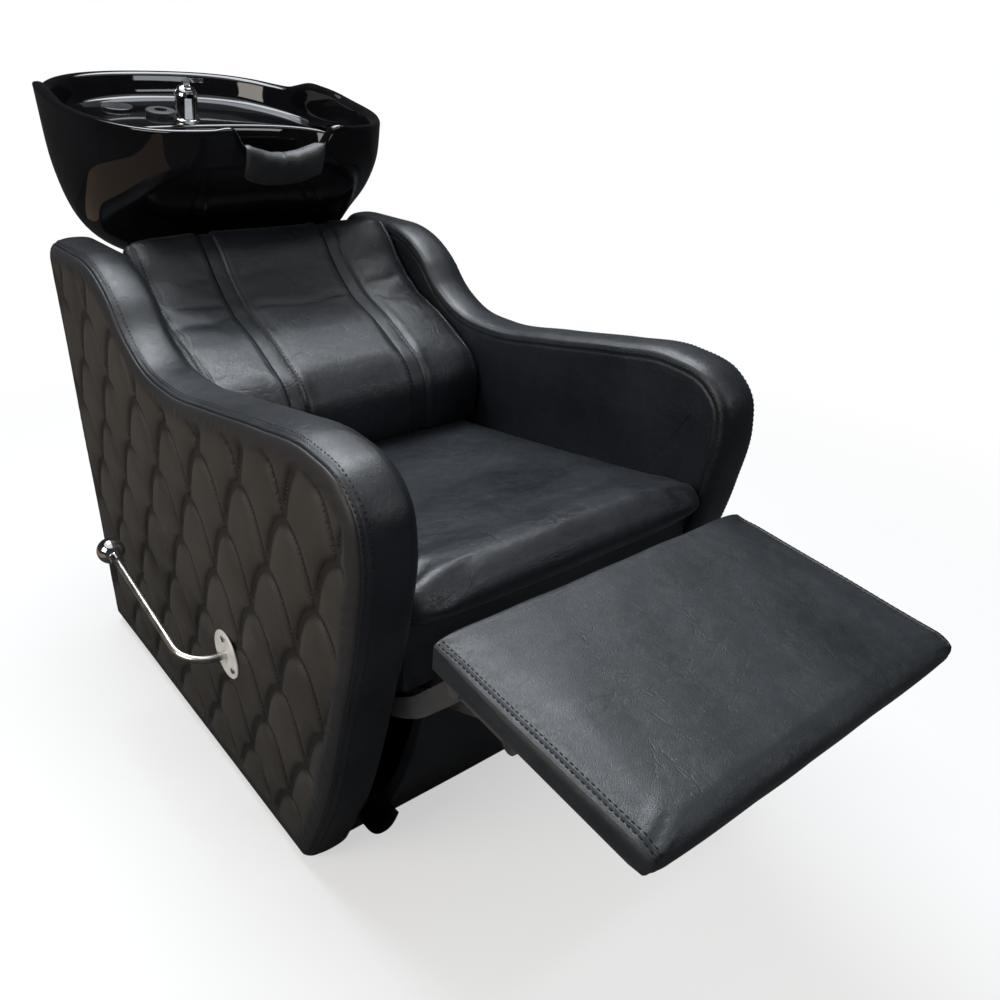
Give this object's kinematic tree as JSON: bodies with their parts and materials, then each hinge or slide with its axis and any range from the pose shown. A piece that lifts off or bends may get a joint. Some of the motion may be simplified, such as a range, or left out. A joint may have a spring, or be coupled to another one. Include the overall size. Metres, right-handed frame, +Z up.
{
  "type": "hair washing bed",
  "caption": "Salon backwash chair with quilted sides, padded seat and back, a tilting ceramic wash basin with tap, and a fold-out leg rest worked by a side lever.",
  "frame": {"origin": "middle of the floor that the whole object covers, leg rest out and lever included", "axes": "+Z up, the sitter faces -Y, the basin is at +Y and the lever on the -X side"},
  "size_m": [0.7336, 1.6968, 1.015],
  "materials": {
    "timber": "sawn pine, unfinished",
    "plywood": "birch plywood",
    "panel_cloth": "black backing cloth over hardboard",
    "leather_black": "charcoal black upholstery leather, soft sheen",
    "leather_creased": "charcoal upholstery leather with fine creases",
    "leather_quilted": "dark brown-grey leather, scallop quilted with double stitching",
    "black_steel": "satin black powder coat",
    "satin_steel": "satin steel",
    "zinc_steel": "zinc-plated",
    "polished_chrome": "polished chrome",
    "black_plastic": "moulded, satin",
    "black_rubber": "soft moulded rubber",
    "black_ceramic": "opaque black glaze on vitreous china"
  },
  "bodies": {
    "chassis": {"side_frame_right": "timber", "side_frame_left": "timber", "arm_pad_right": "leather_black", "arm_pad_left": "leather_black", "quilted_panel_right": "leather_quilted", "quilted_panel_left": "leather_quilted", "front_rail": "timber", "rear_rail": "timber", "rear_top_rail": "timber", "rear_panel": "panel_cloth", "kick_panel": "leather_black", "front_apron": "leather_black", "feet": "black_plastic", "seat_board": "plywood", "seat_bearers": "timber", "seat_cushion": "leather_black", "backrest_board": "plywood", "backrest_bearers": "timber", "backrest_pad": "leather_black", "hinge_arm_right": "black_steel", "hinge_arm_left": "black_steel", "hinge_standoffs": "zinc_steel", "hinge_bolts": "zinc_steel", "shaft_bushes": "black_plastic", "escutcheon": "satin_steel", "escutcheon_screws": "zinc_steel", "basin_stand": "black_steel", "stand_bolts": "zinc_steel", "tilt_pins": "zinc_steel", "tilt_nuts": "zinc_steel"},
    "leg_rest": {"leg_rest_brackets": "black_steel", "hinge_pivots": "zinc_steel", "strut_pivots": "zinc_steel", "bracket_screws": "zinc_steel", "leg_rest_board": "plywood", "leg_rest_pad": "leather_creased"},
    "lever_shaft": {"torque_shaft": "satin_steel", "shaft_collars": "zinc_steel", "cranks": "black_steel", "crank_pins": "zinc_steel", "lever_rod": "satin_steel", "lever_knob": "polished_chrome"},
    "struts": {"strut_right": "satin_steel", "strut_left": "satin_steel"},
    "basin_bowl": {"basin_cradle": "black_steel", "cradle_pads": "black_rubber", "cradle_bolts": "zinc_steel", "basin": "black_ceramic", "neck_rest": "black_rubber", "drain_tailpiece": "polished_chrome", "drain_nut": "black_plastic", "tap_base": "polished_chrome", "tap_nut": "zinc_steel", "hose_ring": "black_rubber", "hole_cap": "black_plastic", "drain_strainer": "polished_chrome"},
    "tap_swivel": {"tap_body": "polished_chrome", "tap_pin": "zinc_steel"},
    "tap_handle": {"tap_lever": "polished_chrome"}
  },
  "joints": [
    {"name": "leg_rest_fold", "type": "hinge", "parent": "chassis", "child": "leg_rest", "pos_m": [0.04075, -0.5515, 0.443], "axis": [1, 0, 0], "range_deg": [0, 100]},
    {"name": "lever_turn", "type": "hinge", "parent": "chassis", "child": "lever_shaft", "pos_m": [0.04075, -0.0995, 0.262], "axis": [1, 0, 0], "range_deg": [0, 100]},
    {"name": "strut_swing", "type": "hinge", "parent": "leg_rest", "child": "struts", "pos_m": [0.04075, -0.6465, 0.43234], "axis": [1, 0, 0], "range_deg": [-100, 0]},
    {"name": "basin_tilt", "type": "hinge", "parent": "chassis", "child": "basin_bowl", "pos_m": [0.04075, 0.4505, 0.672], "axis": [1, 0, 0], "range_deg": [-12, 0]},
    {"name": "tap_swing", "type": "hinge", "parent": "basin_bowl", "child": "tap_swivel", "pos_m": [0.04075, 0.64747, 0.93168], "axis": [0, -0.1908, 0.9816], "range_deg": [-60, 60]},
    {"name": "tap_lift", "type": "hinge", "parent": "tap_swivel", "child": "tap_handle", "pos_m": [0.04075, 0.63697, 0.98572], "axis": [1, 0, 0], "range_deg": [-20, 0]}
  ],
  "couplings": [
    {"joint": "lever_turn", "follows": "leg_rest_fold", "ratio": 1},
    {"joint": "strut_swing", "follows": "leg_rest_fold", "ratio": -1}
  ]
}
